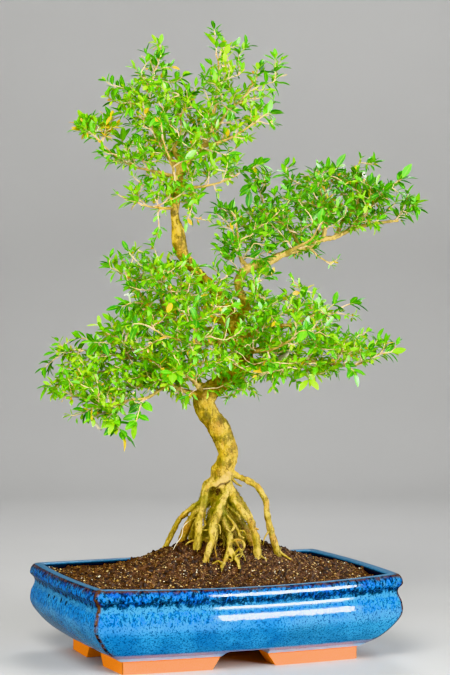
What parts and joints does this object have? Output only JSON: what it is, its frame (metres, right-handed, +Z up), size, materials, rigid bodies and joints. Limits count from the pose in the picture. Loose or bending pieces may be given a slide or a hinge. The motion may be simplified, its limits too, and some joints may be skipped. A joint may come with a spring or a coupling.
{
  "type": "serissa bonsai",
  "caption": "Flowering shrub trained as a bonsai over exposed roots, planted in a shallow rectangular glazed pot with four feet",
  "frame": {"origin": "centre of the underside of the whole plant and pot, on the surface that the pot's feet stand on", "axes": "X runs along the long side of the pot, to the right as seen from its front; Y points to its back; Z points up along the trunk"},
  "size_m": [0.3754, 0.2528, 0.6322],
  "materials": {
    "pot_glaze": "gloss",
    "potting_soil": "matte",
    "screen_plastic": "matte",
    "bark": "matte",
    "leaf": "satin",
    "petal": "matte"
  },
  "bodies": {
    "root": {"pot": "pot_glaze", "drain_screen_left": "screen_plastic", "drain_screen_right": "screen_plastic", "soil": "potting_soil", "wood": "bark", "flower_1": "petal", "flower_2": "petal", "flower_3": "petal", "spray_crown_01": "leaf", "spray_crown_02": "leaf", "spray_crown_03": "leaf", "spray_crown_04": "leaf", "spray_crown_05": "leaf", "spray_crown_06": "leaf", "spray_crown_07": "leaf", "spray_crown_08": "leaf", "spray_crown_09": "leaf", "spray_crown_10": "leaf", "spray_crown_11": "leaf", "spray_crown_12": "leaf", "spray_crown_13": "leaf", "spray_crown_14": "leaf", "spray_crown_15": "leaf", "spray_crown_16": "leaf", "spray_crown_17": "leaf", "spray_low_01": "leaf", "spray_low_02": "leaf", "spray_low_03": "leaf", "spray_low_04": "leaf", "spray_low_05": "leaf", "spray_low_06": "leaf", "spray_low_07": "leaf", "spray_low_08": "leaf", "spray_low_09": "leaf", "spray_low_10": "leaf", "spray_low_11": "leaf", "spray_low_12": "leaf", "spray_low_13": "leaf", "spray_low_14": "leaf", "spray_low_15": "leaf", "spray_low_16": "leaf", "spray_low_17": "leaf", "spray_low_18": "leaf", "spray_low_19": "leaf", "spray_low_20": "leaf", "spray_low_21": "leaf", "spray_low_22": "leaf", "spray_low_23": "leaf", "spray_low_24": "leaf", "spray_low_25": "leaf", "spray_pad_01": "leaf", "spray_pad_02": "leaf", "spray_pad_03": "leaf", "spray_pad_04": "leaf", "spray_pad_05": "leaf", "spray_pad_06": "leaf", "spray_pad_07": "leaf", "spray_pad_08": "leaf", "spray_pad_09": "leaf", "spray_pad_10": "leaf"}
  },
  "joints": []
}
